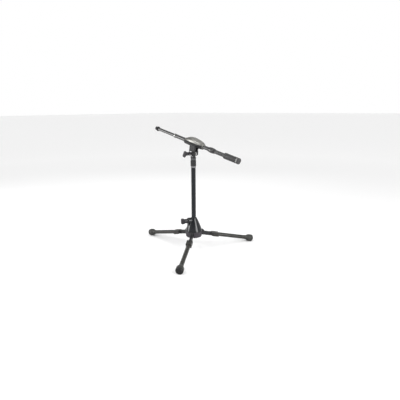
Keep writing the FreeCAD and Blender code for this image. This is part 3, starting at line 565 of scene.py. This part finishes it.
def make_counterweight(tube_radius):
    """The weight with one turned groove, the light band behind it, and the end cap."""
    low, high, outer, _ = extent("counterweight", BOOM)
    outline = [(tube_radius, low), (outer, low, 2), (outer, low + 10, 0.3),
               (outer - 0.5, low + 10.5, 0.2), (outer - 0.5, low + 11.5, 0.2), (outer, low + 12, 0.3),
               (outer, high, 0.4), (tube_radius, high)]
    place_piece(lathe("counterweight_bar", outline, BOOM), "counterweight")
    low, high, outer, _ = extent("counterweight_ring", BOOM)
    outline = [(tube_radius, low), (outer, low), (outer, low + 1.7), (outer - 0.25, low + 2),
               (outer - 0.25, low + 2.5), (outer, low + 2.8), (outer, high), (tube_radius, high)]
    place_piece(lathe("weight_band", outline, BOOM), "counterweight_ring")
    low, high, outer, _ = extent("counterweight_cap", BOOM)
    outline = [(0, low), (outer, low, 0.4), (outer, high, 2.2), (4.2, high, 0.3), (3.6, high - 1.1, 0.2),
               (0, high - 1.1)]
    place_piece(lathe("weight_cap", outline, BOOM), "counterweight_cap")


INCH = 25.4
THREAD_PITCH = INCH / 27


def make_threaded_end(tube_bore):
    """The microphone thread and the knurled flange that it stands on."""
    low, high, outer, inner = extent("mic_thread", BOOM)
    outline = [(inner, low), (outer - 0.8, low, 0.3), (outer, low + 0.9, 0.2), (outer, high - 0.5),
               (outer - 0.5, high), (inner, high)]
    ridges = screw_thread(THREAD_PITCH, 0.55, low + 0.9, high - 0.5, outer - 0.9)
    threads = lathe("threaded_end", outline, BOOM, 96, ridges, (low + 0.9, high - 0.5, 0.12))
    place_piece(threads, "mic_thread")
    low, high, outer, inner = extent("thread_flange", BOOM)
    flange_height = 5
    rim = low + flange_height
    outline = [(inner, low), (outer - 0.6, low, 0.4), (outer, low + 0.6, 0.2), (outer, rim - 0.6, 0.2),
               (outer - 0.6, rim, 0.4), (tube_bore, rim), (tube_bore, high), (inner, high)]
    diamonds = knurl(60, 0.4, low + 0.8, rim - 0.8, outer - 0.4)
    flange = lathe("knurled_flange", outline, BOOM, 240, diamonds, (low + 0.6, rim - 0.6, 0.35))
    place_piece(flange, "thread_flange")


def make_collar():
    """The barrel-shaped stop on the boom."""
    low, high, outer, inner = extent("stop_collar", BOOM)
    end_radius, steps = 9.2, 14
    outline = [(inner, low), (end_radius - 0.2, low, 0.4)]
    for index in range(steps + 1):
        part = index / steps
        bulge = (outer - end_radius) * (1 - (2 * part - 1) ** 2)
        outline.append((end_radius + bulge, low + 0.6 + part * (high - low - 1.2)))
    outline += [(end_radius - 0.2, high, 0.4), (inner, high)]
    place_piece(lathe("stop_barrel", outline, BOOM), "stop_collar")


# ---------------------------------------------------------------- stage, lights and camera

FLOOR_REACH = 40
FLOOR_FADE = (0.7, 3.5)     # distances from the object between which the floor's painted shade gives way to painted light
# painted shade: the floor's tone near the object, darker where the softboxes light it most
NEAR_PAINTED_SHADE = (0.80,) * 3
# painted light: the floor's tone further out, whiter where the softboxes' light falls off
FAR_PAINTED_LIGHT = (0.98,) * 3


def make_stage():
    """A pale paper floor. It has painted shade near the object, where the softboxes light it most, and
    painted light further out, where their light falls off, so that it looks evenly bright.
    """
    mesh = bpy.data.meshes.new("floor")
    corners = [(x * FLOOR_REACH, y * FLOOR_REACH, 0) for x, y in ((-1, -1), (1, -1), (1, 1), (-1, 1))]
    mesh.from_pydata(corners, [], [(0, 1, 2, 3)])
    floor = add_object("floor", mesh)
    material, tree, shader = new_material("pale floor")
    shader.inputs["Roughness"].default_value = 0.9
    place = tree.nodes.new("ShaderNodeTexCoord")
    distance = tree.nodes.new("ShaderNodeVectorMath")
    distance.operation = "LENGTH"
    tree.links.new(place.outputs["Object"], distance.inputs[0])
    span = tree.nodes.new("ShaderNodeMapRange")
    span.inputs["From Min"].default_value, span.inputs["From Max"].default_value = FLOOR_FADE
    tree.links.new(distance.outputs["Value"], span.inputs["Value"])
    # the floor's colour runs from painted shade near the object to painted light further out
    shade = ramp_node(tree, span.outputs["Result"], 0, 1, NEAR_PAINTED_SHADE, FAR_PAINTED_LIGHT)
    tree.links.new(shade.outputs["Color"], shader.inputs["Base Color"])
    floor.data.materials.append(material)


def area_light(name, location, target, size, power):
    light = bpy.data.lights.new(name, "AREA")
    light.shape = "RECTANGLE"
    light.size, light.size_y = size
    light.energy = power
    item = bpy.data.objects.new(name, light)
    bpy.context.scene.collection.objects.link(item)
    item.location = location
    item.rotation_mode = "QUATERNION"
    item.rotation_quaternion = (Vector(target) - Vector(location)).to_track_quat("-Z", "Y")


HORIZON = (0.34, 0.52)      # heights in the sky between which white gives way to the ceiling
CEILING = 0.3               # brightness overhead
SUN_STRENGTH = 1.5
SUN_SPREAD = 85             # degrees across, so its shadows are soft
SOFTBOXES = (               # name, place, aim, width and height, watts
    ("left", (-1.24, -1.26, 0.70), (0, 0, 0.12), (0.60, 0.8), 18),
    ("right", (1.58, -0.08, 0.85), (0, 0, 0.12), (0.70, 1.1), 26),
    ("strip", (-0.42, -1.31, 1.52), (0.1, 0, 0.42), (0.6, 0.2), 7),
    ("back", (-1.1, 1.25, 1.1), (0, 0, 0.4), (1.4, 0.6), 3),
)


def make_world():
    """White round the horizon, as a sweep of paper behind the object, and a dim ceiling above it."""
    world = bpy.data.worlds.new("studio")
    bpy.context.scene.world = world
    world.use_nodes = True
    tree = world.node_tree
    direction = tree.nodes.new("ShaderNodeTexCoord")
    split = tree.nodes.new("ShaderNodeSeparateXYZ")
    tree.links.new(direction.outputs["Generated"], split.inputs["Vector"])
    ramp = ramp_node(tree, split.outputs["Z"], *HORIZON, (1, 1, 1), (CEILING,) * 3)
    tree.links.new(ramp.outputs["Color"], tree.nodes["Background"].inputs["Color"])


def make_lights():
    make_world()
    bpy.context.scene.view_settings.view_transform = "Standard"
    overhead = bpy.data.lights.new("overhead", "SUN")
    overhead.energy = SUN_STRENGTH
    overhead.angle = math.radians(SUN_SPREAD)
    bpy.context.scene.collection.objects.link(bpy.data.objects.new("overhead", overhead))
    for softbox in SOFTBOXES:
        area_light(*softbox)


CAMERA_AZIMUTH = 41.4       # degrees
CAMERA_ELEVATION = 14.3
CAMERA_ROLL = -0.44
CAMERA_DISTANCE = 1.6
CAMERA_LENS = 33.64         # millimetres, as the sensor
CAMERA_SENSOR = 36
CAMERA_TARGET = (0, 0, 0.2)
CAMERA_SHIFT = (0.0159, 0.0098)


def make_camera():
    azimuth = math.radians(CAMERA_AZIMUTH)
    elevation = math.radians(CAMERA_ELEVATION)
    back = Vector((math.sin(azimuth) * math.cos(elevation), -math.cos(azimuth) * math.cos(elevation),
                   math.sin(elevation)))
    data = bpy.data.cameras.new("camera")
    data.sensor_width = CAMERA_SENSOR
    data.lens = CAMERA_LENS
    data.shift_x, data.shift_y = CAMERA_SHIFT
    camera = bpy.data.objects.new("camera", data)
    bpy.context.scene.collection.objects.link(camera)
    camera.location = Vector(CAMERA_TARGET) + back * CAMERA_DISTANCE
    camera.rotation_mode = "QUATERNION"
    turn = Matrix.Rotation(math.radians(CAMERA_ROLL), 3, back).to_quaternion()
    camera.rotation_quaternion = turn @ (-back).to_track_quat("-Z", "Y")
    bpy.context.scene.camera = camera


make_stage()
make_lights()
make_camera()
paint_frame()
make_legs()
make_base()
make_column()
make_head()
make_boom()
